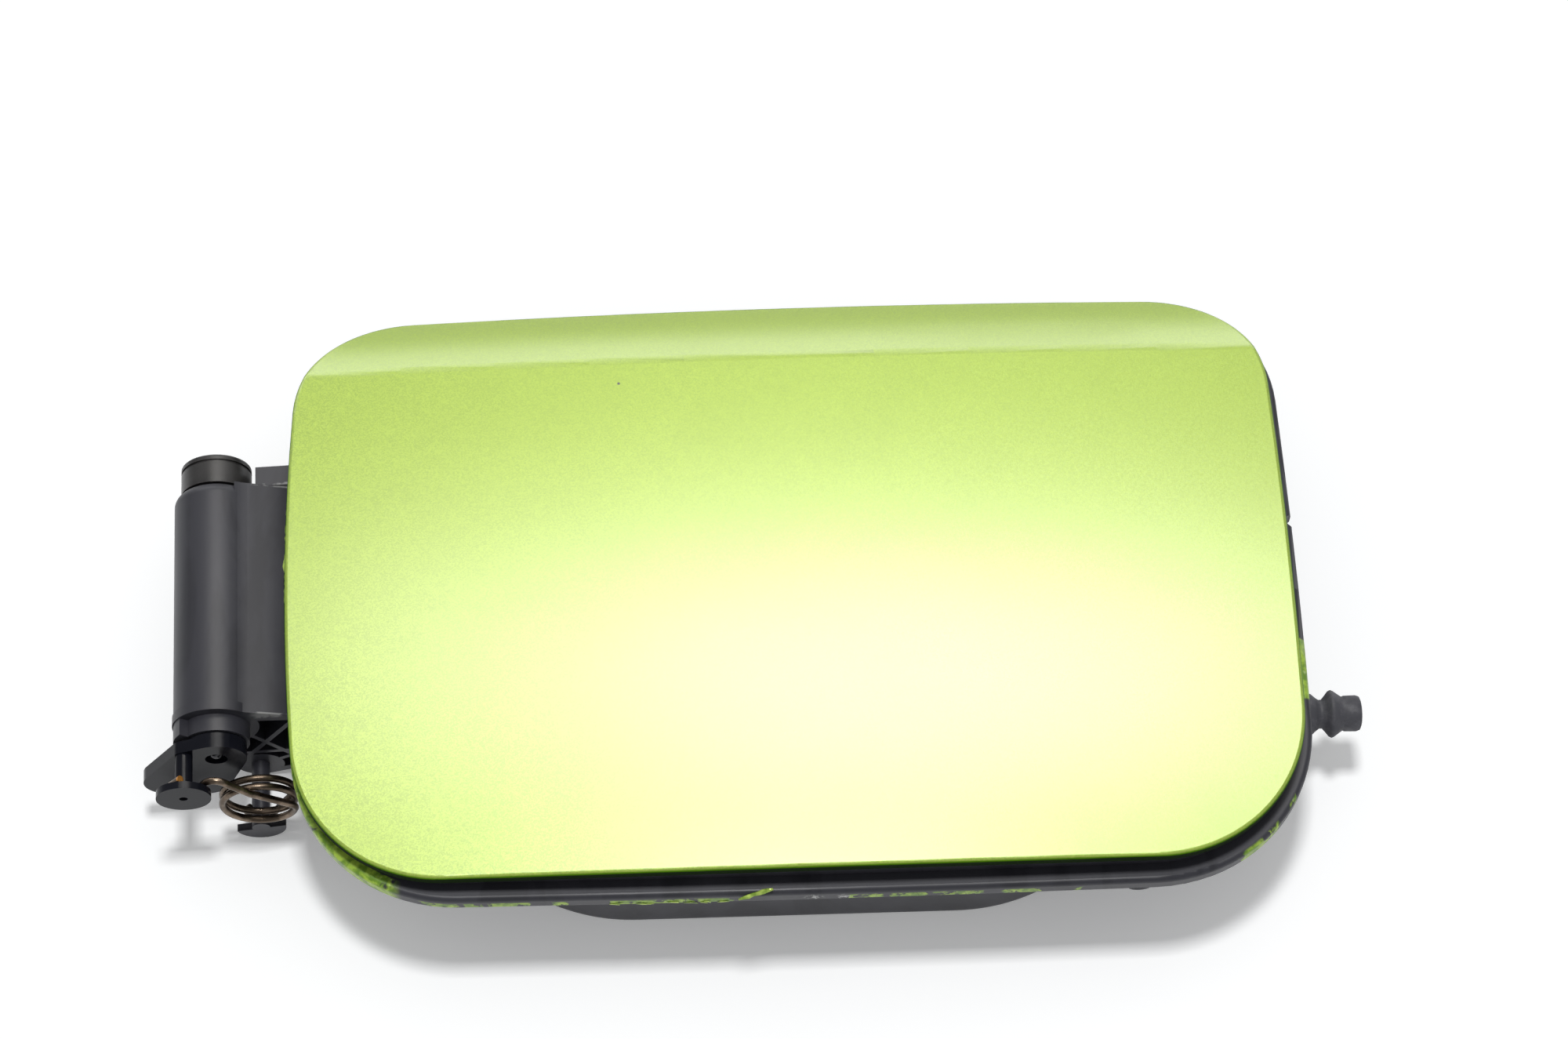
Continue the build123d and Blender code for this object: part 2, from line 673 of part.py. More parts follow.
buffer_origin = panel_plane.from_local_coords(Vector(free_end_face, buffer_across, buffer_height))
with BuildPart() as rubber_buffer:
    with BuildSketch(Plane(origin=buffer_origin, x_dir=panel_plane.x_dir, z_dir=panel_plane.y_dir)):
        with BuildLine():
            Polyline(*buffer_stations, close=True)
        make_face()
    revolve(axis=Axis(buffer_origin, panel_plane.x_dir), revolution_arc=360)
    tip = rubber_buffer.edges().filter_by(GeomType.CIRCLE).sort_by(Axis.X)[-1]
    fillet(tip, radius=buffer_tip_round)
rubber_buffer.part.label = "rubber_buffer"

os.makedirs("parts", exist_ok=True)
export_step(door_skin.part, "parts/door_skin.step")
export_step(carrier.part, "parts/carrier.step")
export_step(hinge_shaft.part, "parts/hinge_shaft.step")
export_step(crank_lever.part, "parts/crank_lever.step")
export_step(crank_pin.part, "parts/crank_pin.step")
export_step(overcentre_spring.part, "parts/overcentre_spring.step")
export_step(rubber_buffer.part, "parts/rubber_buffer.step")
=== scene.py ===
"""Looks of the car fuel door: materials, paint wear, floor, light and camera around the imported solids."""
import math
import random
from functools import reduce

import bmesh
import bpy
from mathutils import Euler, Matrix, Vector
from mathutils.bvhtree import BVHTree


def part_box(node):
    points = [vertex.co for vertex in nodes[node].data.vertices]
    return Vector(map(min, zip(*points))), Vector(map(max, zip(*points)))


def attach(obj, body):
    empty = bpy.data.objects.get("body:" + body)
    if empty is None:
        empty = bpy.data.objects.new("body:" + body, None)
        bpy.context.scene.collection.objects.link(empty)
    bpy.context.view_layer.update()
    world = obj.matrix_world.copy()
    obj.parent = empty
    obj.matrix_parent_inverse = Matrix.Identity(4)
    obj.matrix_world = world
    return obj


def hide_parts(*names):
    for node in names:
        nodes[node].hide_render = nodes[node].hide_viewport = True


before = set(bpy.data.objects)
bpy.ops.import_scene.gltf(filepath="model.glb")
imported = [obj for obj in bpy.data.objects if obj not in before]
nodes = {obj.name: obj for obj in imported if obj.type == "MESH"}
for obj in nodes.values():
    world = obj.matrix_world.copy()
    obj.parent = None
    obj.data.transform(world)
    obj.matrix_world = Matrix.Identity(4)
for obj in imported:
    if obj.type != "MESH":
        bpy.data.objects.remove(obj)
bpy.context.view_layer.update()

# Lengths are named in millimetres and reach Blender in metres. The floor and the lamps are named in metres.
MM = 0.001
UP = Vector((0, 0, 1))

# The painted panel in the row frame: its middle, turn in degrees, half sizes and corner radii.
PANEL_MIDDLE = (118.85, -36.55)
PANEL_TURN = -2.4
PANEL_HALF = (103.25, 65.75)
CORNER_NEAR = 32.0
CORNER_FAR = 25.0
# The hinge end leans by a share of the distance across, and bows by a share of its square in metres.
HINGE_END_LEAN = -0.03
HINGE_END_BOW = 0.84

# Sockets of a Mix node that mixes colours.
MIX_SHARE, MIX_FIRST, MIX_SECOND, MIX_RESULT = 0, 6, 7, 2


def panel_point(along, across, height):
    """A point given along and across the panel from its middle, in metres in the row frame."""
    turn = math.radians(PANEL_TURN)
    x = PANEL_MIDDLE[0] + along * math.cos(turn) - across * math.sin(turn)
    y = PANEL_MIDDLE[1] + along * math.sin(turn) + across * math.cos(turn)
    return Vector((x, y, height)) * MM


class Graph:
    """A material's node tree, with short calls for the nodes used here."""

    def __init__(self, name):
        self.material = bpy.data.materials.new(name)
        self.material.use_nodes = True
        self.tree = self.material.node_tree
        self.tree.nodes.clear()
        self.shader = self.node("ShaderNodeBsdfPrincipled")
        output = self.node("ShaderNodeOutputMaterial")
        self.tree.links.new(self.shader.outputs["BSDF"], output.inputs["Surface"])
        coordinates = self.node("ShaderNodeTexCoord")
        self.place = coordinates.outputs["Object"]
        self.facing = coordinates.outputs["Normal"]

    def node(self, kind):
        return self.tree.nodes.new(kind)

    def put(self, socket, value):
        """Sets a socket to a number or colour, or links another node to it."""
        if isinstance(value, bpy.types.NodeSocket):
            self.tree.links.new(value, socket)
        else:
            socket.default_value = value

    def look(self, **values):
        """Sets the shader's own sockets, with underscores for the spaces in their names."""
        for name, value in values.items():
            self.put(self.shader.inputs[name.replace("_", " ").title().replace("Ior", "IOR")], value)

    def math(self, kind, first, second=0.0, third=0.0):
        node = self.node("ShaderNodeMath")
        node.operation = kind
        for socket, value in zip(node.inputs, (first, second, third)):
            self.put(socket, value)
        return node.outputs[0]

    def product(self, *values):
        return reduce(lambda first, second: self.math("MULTIPLY", first, second), values)

    def most(self, *values):
        return reduce(lambda first, second: self.math("MAXIMUM", first, second), values)

    def vector(self, kind, first, second=(0.0, 0.0, 0.0)):
        node = self.node("ShaderNodeVectorMath")
        node.operation = kind
        self.put(node.inputs[0], first)
        self.put(node.inputs[1], second)
        return node.outputs["Value" if kind == "DISTANCE" else "Vector"]

    def parts(self, vector):
        node = self.node("ShaderNodeSeparateXYZ")
        self.put(node.inputs[0], vector)
        return node.outputs[0], node.outputs[1], node.outputs[2]

    def noise(self, scale, detail=2.0, rough=0.5, stretch=None, warp=0.0):
        """Noise with a number of features per metre; a stretch multiplies that number on each axis."""
        node = self.node("ShaderNodeTexNoise")
        place = self.place if stretch is None else self.vector("MULTIPLY", self.place, stretch)
        self.put(node.inputs["Vector"], place)
        node.inputs["Scale"].default_value = scale
        node.inputs["Detail"].default_value = detail
        node.inputs["Roughness"].default_value = rough
        node.inputs["Distortion"].default_value = warp
        return node.outputs["Fac"]

    def cells(self, scale):
        """A random colour for each of the cells, with a number of cells per metre."""
        node = self.node("ShaderNodeTexVoronoi")
        self.put(node.inputs["Vector"], self.place)
        node.inputs["Scale"].default_value = scale
        return node.outputs["Color"]

    def ease(self, value, low, high, to_low=0.0, to_high=1.0):
        """A smooth step from one value to another between two levels."""
        node = self.node("ShaderNodeMapRange")
        node.interpolation_type = "SMOOTHSTEP"
        for name, number in zip(("From Min", "From Max", "To Min", "To Max"), (low, high, to_low, to_high)):
            node.inputs[name].default_value = number
        self.put(node.inputs["Value"], value)
        return node.outputs[0]

    def patches(self, scale, low, high, detail=2.0, rough=0.5, to_low=0.0, to_high=1.0):
        """Soft patches: noise that eases from one value to another between two of its levels."""
        return self.ease(self.noise(scale, detail, rough), low, high, to_low, to_high)

    def rise(self, value, low, high):
        """0 below one level in millimetres, 1 above the other."""
        return self.ease(value, low * MM, high * MM)

    def fall(self, value, low, high):
        """1 below one level in millimetres, 0 above the other."""
        return self.ease(value, low * MM, high * MM, 1.0, 0.0)

    def band(self, value, low, high, soft):
        """1 between two levels in millimetres, easing to 0 outside them."""
        return self.product(self.rise(value, low - soft, low + soft), self.fall(value, high - soft, high + soft))

    def area(self, along, across, region):
        """1 in a rectangle in plan, given as low, high and softness along the panel and then across it."""
        return self.product(self.band(along, *region[0]), self.band(across, *region[1]))

    def spot(self, centre, inner, outer):
        """1 within the inner distance of a point in the row frame, 0 beyond the outer one."""
        return self.fall(self.vector("DISTANCE", self.place, centre), inner, outer)

    def mix(self, share, first, second):
        node = self.node("ShaderNodeMix")
        node.data_type = "RGBA"
        self.put(node.inputs[MIX_SHARE], share)
        self.put(node.inputs[MIX_FIRST], first)
        self.put(node.inputs[MIX_SECOND], second)
        return node.outputs[MIX_RESULT]

    def bump(self, height, strength, distance):
        """A bumped normal, with the distance in millimetres."""
        node = self.node("ShaderNodeBump")
        node.inputs["Strength"].default_value = strength
        node.inputs["Distance"].default_value = distance * MM
        self.put(node.inputs["Height"], height)
        return node.outputs[0]

    def panel_place(self):
        """Along and across the panel from its middle, and height, in metres."""
        node = self.node("ShaderNodeMapping")
        turn = Matrix.Rotation(math.radians(-PANEL_TURN), 3, "Z")
        middle = Vector((PANEL_MIDDLE[0], PANEL_MIDDLE[1], 0)) * MM
        node.inputs["Rotation"].default_value = (0, 0, math.radians(-PANEL_TURN))
        node.inputs["Location"].default_value = -(turn @ middle)
        self.put(node.inputs["Vector"], self.place)
        return node.outputs[0]

    def beyond_outline(self, along, across):
        """Distance outside the painted panel's outline in plan, in metres; negative inside it."""
        far_side = self.math("GREATER_THAN", across, 0.0)
        radius = self.math("MULTIPLY_ADD", far_side, (CORNER_FAR - CORNER_NEAR) * MM, CORNER_NEAR * MM)
        reach_along = self.math("SUBTRACT", PANEL_HALF[0] * MM, radius)
        reach_across = self.math("SUBTRACT", PANEL_HALF[1] * MM, radius)
        hinge_side = self.math("LESS_THAN", along, 0.0)
        taper = self.product(across, self.math("MULTIPLY_ADD", across, HINGE_END_BOW, HINGE_END_LEAN))
        length = self.math("MULTIPLY_ADD", hinge_side, taper, self.math("ABSOLUTE", along))
        over_along = self.math("SUBTRACT", length, reach_along)
        over_across = self.math("SUBTRACT", self.math("ABSOLUTE", across), reach_across)
        out_along = self.math("POWER", self.most(over_along, 0.0), 2.0)
        out_across = self.math("POWER", self.most(over_across, 0.0), 2.0)
        outer = self.math("SQRT", self.math("ADD", out_along, out_across))
        inner = self.math("MINIMUM", self.most(over_along, over_across), 0.0)
        return self.math("SUBTRACT", self.math("ADD", outer, inner), radius)


# The skin's paint: flake colours, chips, and painted shade: a darker green on the rolled edge and a near-black
# green on the wall below it.
LIME = (0.302, 0.44, 0.008, 1)
LIME_DEEP = (0.268, 0.4, 0.006, 1)
LIME_PALE = (0.336, 0.48, 0.012, 1)
LIME_ROLLED_SHADE = (0.1, 0.24, 0.004, 1)
LIME_WALL_SHADE = (0.008, 0.02, 0.003, 1)
CHIP_DARK = (0.03, 0.03, 0.025, 1)
FLAKES_PER_METRE = 4200
FLAKE_LEAN = 0.16
# Each chip's place on the panel, and the distances within which it is whole and beyond which it is gone.
CHIPS = [((-34.2, 44.5, 15.3), 0.25, 0.5), ((75.3, -39.0, 15.2), 0.2, 0.42)]


def lime_paint():
    """Metallic lacquer: flakes that lean their own way under a clear coat, two chips, and a dull rolled edge;
    painted shade darkens the rolled edge and the wall below it.
    """
    g = Graph("lime_metallic_paint")
    flake = g.cells(FLAKES_PER_METRE)
    tone = g.parts(flake)[0]
    colour = g.mix(g.ease(tone, 0.1, 0.9), LIME_DEEP, LIME_PALE)
    colour = g.mix(g.product(g.patches(28, 0.35, 0.7), 0.25), colour, LIME)
    chips = g.most(*[g.spot(panel_point(*place), inner, outer) for place, inner, outer in CHIPS])
    colour = g.mix(chips, colour, CHIP_DARK)
    slope = g.parts(g.facing)[2]
    # Painted shade: faces that turn down from upward get a darker green, and steep faces a near-black green; the
    # rolled edge is also duller and has no clear coat.
    rolled = g.ease(slope, 0.5, 0.83, 1.0, 0.0)
    wall = g.ease(slope, 0.1, 0.5, 1.0, 0.0)
    colour = g.mix(rolled, colour, LIME_ROLLED_SHADE)
    colour = g.mix(wall, colour, LIME_WALL_SHADE)
    normal = g.node("ShaderNodeNewGeometry").outputs["Normal"]
    lean = g.vector("MULTIPLY", g.vector("SUBTRACT", flake, (0.5, 0.5, 0.5)), (FLAKE_LEAN,) * 3)
    normal = g.vector("NORMALIZE", g.vector("ADD", normal, lean))
    rough = g.patches(60, 0.3, 0.75, detail=3, to_low=0.48, to_high=0.52)
    rough = g.math("MULTIPLY_ADD", rolled, 0.3, rough)
    g.look(base_color=colour, metallic=0.4, roughness=rough, normal=normal)
    g.look(coat_weight=g.math("SUBTRACT", 1.0, rolled), coat_roughness=0.27, coat_ior=2.0)
    g.look(specular_ior_level=g.math("MULTIPLY_ADD", rolled, -0.47, 0.5))
    return g.material


# The carrier's plastic, the paint that reached its rim, its scuffs, and painted highlight lines on the hinge
# arm.
PLASTIC_DARK = (0.031, 0.031, 0.039, 1)
PLASTIC_PALE = (0.038, 0.038, 0.047, 1)
DUST = (0.085, 0.083, 0.08, 1)
SMUDGE = (0.014, 0.014, 0.018, 1)
SMUDGE_STRETCH = (1.6, 0.45, 1.0)
LIP_GREEN_DARK = (0.14, 0.27, 0.02, 1)
LIP_GREEN_PALE = (0.38, 0.56, 0.06, 1)
LIP_GREEN_CHALKY = (0.62, 0.72, 0.35, 1)
SCUFF_AND_GLINT_PALE = (0.6, 0.6, 0.58, 1)

# Where paint reached the rim's near lip: stretches along the panel, and how far their ends wander.
NEAR_PAINT = [
    (-74.1, -68.6),
    (-66.8, -63.1),
    (-60.6, -53.7),
    (-48.5, -46.3),
    (-38.0, -13.7),
    (9.8, 12.6),
    (13.2, 16.1),
    (18.6, 24.6),
    (27.7, 36.1),
    (40.6, 47.0),
    (54.8, 55.7),
]
NEAR_PAINT_WANDER = 7.0
NEAR_PAINT_SOFT = 0.4

# Other painted parts of the lip: low, high and softness along the panel, then across it.
HINGE_CORNER = ((-110.0, -80.0, 1.5), (-72.0, -30.0, 4.0))
HINGE_SIDE = ((-110.0, -98.0, 1.5), (-34.0, 44.0, 4.0))
FREE_SIDE = ((98.0, 110.0, 1.0), (-29.0, -15.5, 0.3))
FREE_CORNER = ((88.0, 104.0, 1.5), (-68.0, -47.0, 1.5))

# Scuffs on the near edge: place on the panel, and inner and outer distance.
NEAR_SCUFFS = [((3.0, -68.3, 4.6), 0.5, 2.6), ((9.0, -68.3, 4.8), 0.4, 2.0)]
# Painted highlight lines over the hinge arm's top, along its two end edges: the arm's width in X, and the two
# lines in Y, in the row frame.
ARM_TOP = (8.0, 19.0, 1.5)
ARM_GLINT_LINES = [(-57.2, -56.3, 0.12), (-3.9, -3.0, 0.12)]


def lip_paint(g):
    """Share of paint on the lip that stands out beyond the skin.

    It is broken along the near side's lower edge, thick round the hinge corner, thin beside the hinge,
    whole on a stretch of the free end and patchy at the free corner.
    """
    along, across, height = g.parts(g.panel_place())
    beyond = g.beyond_outline(along, across)
    lip = g.product(g.band(beyond, 0.1, 3.2, 0.15), g.band(height, 3.2, 8.2, 0.3))
    low_edge = g.product(g.rise(beyond, 1.5, 2.1), g.fall(height, 5.7, 6.4))
    broken = g.noise(420, 5, 0.65, warp=0.5)
    coarse = g.noise(150, 4, 0.6, warp=0.4)
    wander = g.math("SUBTRACT", g.noise(380, 3, 0.6), 0.5)
    ragged = g.math("MULTIPLY_ADD", wander, NEAR_PAINT_WANDER * MM, along)
    near = g.most(*[g.band(ragged, first, last, NEAR_PAINT_SOFT) for first, last in NEAR_PAINT])
    near = g.product(near, g.fall(across, -60, -55), low_edge, g.ease(broken, 0.4, 0.48))
    hinge_corner = g.product(g.area(along, across, HINGE_CORNER), g.ease(coarse, 0.33, 0.41))
    hinge_side = g.product(g.area(along, across, HINGE_SIDE), g.rise(height, 5.8, 6.6))
    hinge_side = g.product(hinge_side, g.fall(beyond, 0.7, 1.0), g.ease(broken, 0.44, 0.52))
    free_side = g.area(along, across, FREE_SIDE)
    free_corner = g.product(g.area(along, across, FREE_CORNER), g.ease(coarse, 0.5, 0.56))
    free_corner = g.product(free_corner, g.rise(beyond, 1.0, 1.7))
    return g.product(g.most(near, hinge_corner, hinge_side, free_side, free_corner), lip)


def carrier_scuffs_and_glints(g):
    """Share of the pale scuffs on the rim's near edge, and of the painted highlight lines on the two ends of the
    hinge arm.
    """
    x, y, z = g.parts(g.place)
    arm_top = g.product(g.band(x, *ARM_TOP), g.rise(z, 2.5, 3.5))
    # Painted highlight: broken pale lines where the arm's end edges catch the light.
    painted_glint_ends = g.most(*[g.band(y, *line) for line in ARM_GLINT_LINES])
    painted_glint_ends = g.product(arm_top, painted_glint_ends, g.patches(300, 0.42, 0.56, detail=3, rough=0.6))
    scuffs = g.most(*[g.spot(panel_point(*place), inner, outer) for place, inner, outer in NEAR_SCUFFS])
    scuffs = g.product(scuffs, g.patches(900, 0.52, 0.6, detail=4, rough=0.7))
    return g.most(scuffs, g.product(painted_glint_ends, 0.45))


def carrier_plastic():
    """Moulded black plastic with a fine grain, light dust, smudges, scuffs, painted highlight lines on the arm's
    ends, and paint on the rim's lip.
    """
    g = Graph("carrier_moulded_plastic")
    colour = g.mix(g.patches(24, 0.3, 0.75, detail=3), PLASTIC_DARK, PLASTIC_PALE)
    dust = g.patches(130, 0.55, 0.85, detail=5, rough=0.7)
    colour = g.mix(g.product(dust, 0.16), colour, DUST)
    smudge = g.noise(55, 4, 0.55, stretch=SMUDGE_STRETCH, warp=0.6)
    colour = g.mix(g.product(g.ease(smudge, 0.46, 0.62), 0.55), colour, SMUDGE)

    paint = lip_paint(g)
    green = g.mix(g.patches(600, 0.35, 0.65, detail=3), LIP_GREEN_DARK, LIP_GREEN_PALE)
    green = g.mix(g.product(g.patches(520, 0.66, 0.74), 0.5), green, LIP_GREEN_CHALKY)
    colour = g.mix(paint, colour, green)
    # Pale scuffs on the near rim, and painted highlight lines along the hinge arm's two end edges.
    colour = g.mix(g.product(carrier_scuffs_and_glints(g), 0.75), colour, SCUFF_AND_GLINT_PALE)

    rough = g.patches(40, 0.3, 0.75, detail=3, to_low=0.4, to_high=0.47)
    rough = g.math("MULTIPLY_ADD", paint, -0.05, rough)
    grain = g.noise(900, 3, 0.6)
    bumps = g.math("ADD", g.product(grain, 0.25), paint)
    g.look(base_color=colour, roughness=rough, normal=g.bump(bumps, 0.3, 0.12))
    g.look(specular_ior_level=0.4)
    return g.material


SHAFT_DARK = (0.016, 0.015, 0.015, 1)
SHAFT_PALE = (0.03, 0.028, 0.027, 1)
SHAFT_LINES_STRETCH = (0.05, 1.0, 0.05)


def shaft_plastic():
    """Dark satin plastic of the hinge shaft, with faint turning lines."""
    g = Graph("shaft_plastic")
    lines = g.noise(1600, 2, 0.5, stretch=SHAFT_LINES_STRETCH)
    colour = g.mix(g.patches(90, 0.3, 0.7, detail=4), SHAFT_DARK, SHAFT_PALE)
    rough = g.patches(120, 0.3, 0.7, detail=3, to_low=0.3, to_high=0.44)
    g.look(base_color=colour, roughness=rough, normal=g.bump(lines, 0.18, 0.1))
    return g.material


CRANK_DARK = (0.006, 0.0065, 0.010, 1)
CRANK_PALE = (0.010, 0.0105, 0.015, 1)
CRANK_HAIR_STRETCH = (1.0, 1.0, 0.12)


def crank_plastic():
    """Gloss black plastic of the crank, with hair scratches and finger marks."""
    g = Graph("crank_gloss_plastic")
    colour = g.mix(g.patches(120, 0.35, 0.7, detail=3), CRANK_DARK, CRANK_PALE)
    hair = g.noise(700, 2, 0.5, stretch=CRANK_HAIR_STRETCH)
    rough = g.patches(220, 0.35, 0.75, detail=4, to_low=0.15, to_high=0.23)
    g.look(base_color=colour, roughness=rough, normal=g.bump(hair, 0.12, 0.06))
    g.look(specular_ior_level=0.1)
    return g.material


# Painted shade: the steel pin's colours are near-black for the dark hole it sits in.
PIN_SHADE_DARK = (0.02, 0.02, 0.023, 1)
PIN_SHADE_PALE = (0.045, 0.045, 0.048, 1)


def pin_steel():
    """Domed steel pin with a fine mottle, its colour darkened to painted shade where it sits deep in the crank's
    hole.
    """
    g = Graph("pin_steel")
    colour = g.mix(g.patches(900, 0.35, 0.7, detail=3), PIN_SHADE_DARK, PIN_SHADE_PALE)
    rough = g.patches(1500, 0.3, 0.7, to_low=0.16, to_high=0.3)
    g.look(base_color=colour, metallic=1.0, roughness=rough)
    return g.material


BRONZE_DARK = (0.1, 0.076, 0.056, 1)
BRONZE_WORN = (0.235, 0.18, 0.135, 1)
CUT_END_ORANGE = (0.7, 0.3, 0.06, 1)
# The wire's cut end on the crank's stud, in the row frame.
CUT_END = (-6.2, -70.6, 7.0)


def spring_wire():
    """Bronze-coated spring wire: brown with brighter worn places and a bright orange patch on one cut end."""
    g = Graph("bronze_spring_wire")
    worn = g.patches(240, 0.45, 0.7, detail=4, rough=0.6)
    colour = g.mix(worn, BRONZE_DARK, BRONZE_WORN)
    cut = g.spot(Vector(CUT_END) * MM, 0.75, 1.1)
    colour = g.mix(g.product(cut, 0.85), colour, CUT_END_ORANGE)
    rough = g.patches(500, 0.3, 0.7, detail=3, to_low=0.24, to_high=0.4)
    g.look(base_color=colour, metallic=1.0, roughness=rough, normal=g.bump(g.noise(1800), 0.15, 0.05))
    return g.material


RUBBER_DARK = (0.06, 0.06, 0.07, 1)
RUBBER_BLOOM = (0.115, 0.113, 0.126, 1)


def buffer_rubber():
    """Matte black rubber with a dusty bloom."""
    g = Graph("buffer_rubber")
    colour = g.mix(g.patches(300, 0.4, 0.75, detail=5, rough=0.65), RUBBER_DARK, RUBBER_BLOOM)
    rough = g.patches(420, 0.3, 0.7, detail=3, to_low=0.55, to_high=0.75)
    g.look(base_color=colour, roughness=rough, normal=g.bump(g.noise(1400, 3), 0.3, 0.1))
    g.look(specular_ior_level=0.35)
    return g.material


FLAKE_GREEN_DARK = (0.22, 0.36, 0.035, 1)
FLAKE_GREEN_PALE = (0.5, 0.66, 0.12, 1)


def flake_paint():
    """Loose lacquer flakes and runs: the panel's green in two tones."""
    g = Graph("loose_paint_flake")
    colour = g.mix(g.patches(700, 0.35, 0.65, detail=3), FLAKE_GREEN_DARK, FLAKE_GREEN_PALE)
    rough = g.patches(500, 0.3, 0.7, detail=3, to_low=0.28, to_high=0.5)
    g.look(base_color=colour, metallic=0.35, roughness=rough, coat_weight=0.5, coat_roughness=0.2)
    return g.material


def wear(node, material):
    """Gives a CAD node its material."""
    slots = nodes[node].data.materials
    slots.clear()
    slots.append(material)


flake_material = flake_paint()
carrier_material = carrier_plastic()
buffer_material = buffer_rubber()
wear("door_skin", lime_paint())
wear("carrier", carrier_material)
wear("hinge_shaft", shaft_plastic())
wear("crank_lever", crank_plastic())
wear("crank_pin", pin_steel())
wear("overcentre_spring", spring_wire())
wear("rubber_buffer", buffer_material)


def tree_of(node):
    """A search tree over a CAD node's faces."""
    mesh = nodes[node].data
    return BVHTree.FromPolygons([v.co.copy() for v in mesh.vertices], [list(p.vertices) for p in mesh.polygons])


carrier_tree = tree_of("carrier")
skin_tree = tree_of("door_skin")


def add_piece(name, build, material, body):
    """Makes a mesh piece from a bmesh builder, and lets it ride on a body."""
    shape = bmesh.new()
    build(shape)
    bmesh.ops.recalc_face_normals(shape, faces=shape.faces)
    mesh = bpy.data.meshes.new(name)
    shape.to_mesh(mesh)
    shape.free()
    mesh.materials.append(material)
    for polygon in mesh.polygons:
        polygon.use_smooth = True
    piece = bpy.data.objects.new(name, mesh)
    bpy.context.scene.collection.objects.link(piece)
    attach(piece, body)
    return piece


def lip_point(along, across, height):
    """The nearest point of the carrier to a place near the rim's lip, and its normal."""
    point, normal, _, _ = carrier_tree.find_nearest(panel_point(along, across, height))
    return point, normal


def join_rings(shape, rings, around):
    """Faces between each ring of points and the next; a ring of one point closes an end."""
    for first, last in zip(rings, rings[1:]):
        for step in range(around):
            after = (step + 1) % around
            corners = [
                first[step % len(first)],
                first[after % len(first)],
                last[after % len(last)],
                last[step % len(last)],
            ]
            shape.faces.new(list(dict.fromkeys(corners)))


FLAKE_STEPS = 7
FLAKE_THICK = 0.07
FLAKE_GAP = 0.05


def add_flake(shape, rng, centre, normal, length, width, curl, heading):
    """One flake of paint: a ragged leaf with thickness that lies on the lip and lifts at one end."""
    side = normal.cross(heading).normalized()
    ahead = side.cross(normal).normalized()
    rows = []
    for step in range(FLAKE_STEPS + 1):
        run = step / FLAKE_STEPS
        half = width / 2 * (math.sin(math.pi * (0.08 + 0.84 * run)) ** 0.6) * rng.uniform(0.72, 1.15)
        lift = FLAKE_GAP * MM + curl * run * run
        sway = rng.uniform(-0.08, 0.08) * width
        spine = centre + ahead * (run - 0.5) * length + normal * lift + side * sway
        rows.append((spine - side * half, spine, spine + side * half))
    thick = normal * FLAKE_THICK * MM
    top = [[shape.verts.new(p + thick) for p in row] for row in rows]
    low = [[shape.verts.new(p) for p in row] for row in rows]
    for step in range(FLAKE_STEPS):
        for lane in range(2):
            shape.faces.new((top[step][lane], top[step + 1][lane], top[step + 1][lane + 1], top[step][lane + 1]))
            shape.faces.new((low[step][lane], low[step][lane + 1], low[step + 1][lane + 1], low[step + 1][lane]))
        for lane in (0, 2):
            shape.faces.new((top[step][lane], low[step][lane], low[step + 1][lane], top[step + 1][lane]))
    for step in (0, FLAKE_STEPS):
        for lane in range(2):
            shape.faces.new((top[step][lane], top[step][lane + 1], low[step][lane + 1], low[step][lane]))


# The near lip runs this far across the panel.
NEAR_LIP = -68.4
NEAR_FLAKES = 12


def near_flakes(shape):
    """Small flakes left on the near lip, where the paint has broken most."""
    rng = random.Random(7)
    for _ in range(NEAR_FLAKES):
        along = rng.uniform(-37, -14)
        point, normal = lip_point(along, NEAR_LIP, rng.uniform(4.0, 4.9))
        heading = Vector((1, rng.uniform(-0.3, 0.3), rng.uniform(-0.2, 0.2)))
        length = rng.uniform(0.9, 2.4) * MM
        width = rng.uniform(0.4, 0.8) * MM
        curl = rng.uniform(0.0, 0.2) * MM
        add_flake(shape, rng, point, normal, length, width, curl, heading)


# The rim's lump: its place on the panel, half sizes, and how far it is sunk into the lip and lowered.
LUMP_PLACE = (68.0, NEAR_LIP, 3.4)
LUMP_HALF = (2.4, 0.7, 0.9)
LUMP_SUNK = 0.56
LUMP_LOWERED = 0.7


def rim_lump(shape):
    """A lump squeezed out of the rim's lower near edge."""
    point, normal = lip_point(*LUMP_PLACE)
    centre = point - normal * LUMP_SUNK * MM - UP * LUMP_LOWERED * MM
    bmesh.ops.create_uvsphere(shape, u_segments=20, v_segments=12, radius=1.0 * MM)
    for vert in shape.verts:
        vert.co = vert.co * Vector(LUMP_HALF) + centre


# The curled flake: its place on the panel, length, width, curl and heading.
CURLED_PLACE = (-8.5, -68.0, 7.4)
CURLED_LENGTH = 7.2
CURLED_WIDTH = 1.0
CURLED_LIFT = 1.3
CURLED_HEADING = (1.0, 0.25, 0.1)


def curled_flake(shape):
    """The long flake that stands up off the near lip."""
    rng = random.Random(3)
    point, normal = lip_point(*CURLED_PLACE)
    up = (normal + 0.6 * UP).normalized()
    length, width, curl = CURLED_LENGTH * MM, CURLED_WIDTH * MM, CURLED_LIFT * MM
    add_flake(shape, rng, point, up, length, width, curl, Vector(CURLED_HEADING))


# The run of paint: its far end across the panel, its length, its bead's place, width and extra thickness.
RUN_ALONG = -105.5
RUN_HEIGHT = 10.0
RUN_FAR_END = 30.0
RUN_LENGTH = 52.0
RUN_STEPS = 64
RUN_AROUND = 10
RUN_THIN = 0.12
RUN_RAGGED = 0.22
RUN_TALL = 1.6
BEAD_AT = 6.1
BEAD_WIDTH = 1.3
BEAD_THICK = 0.45


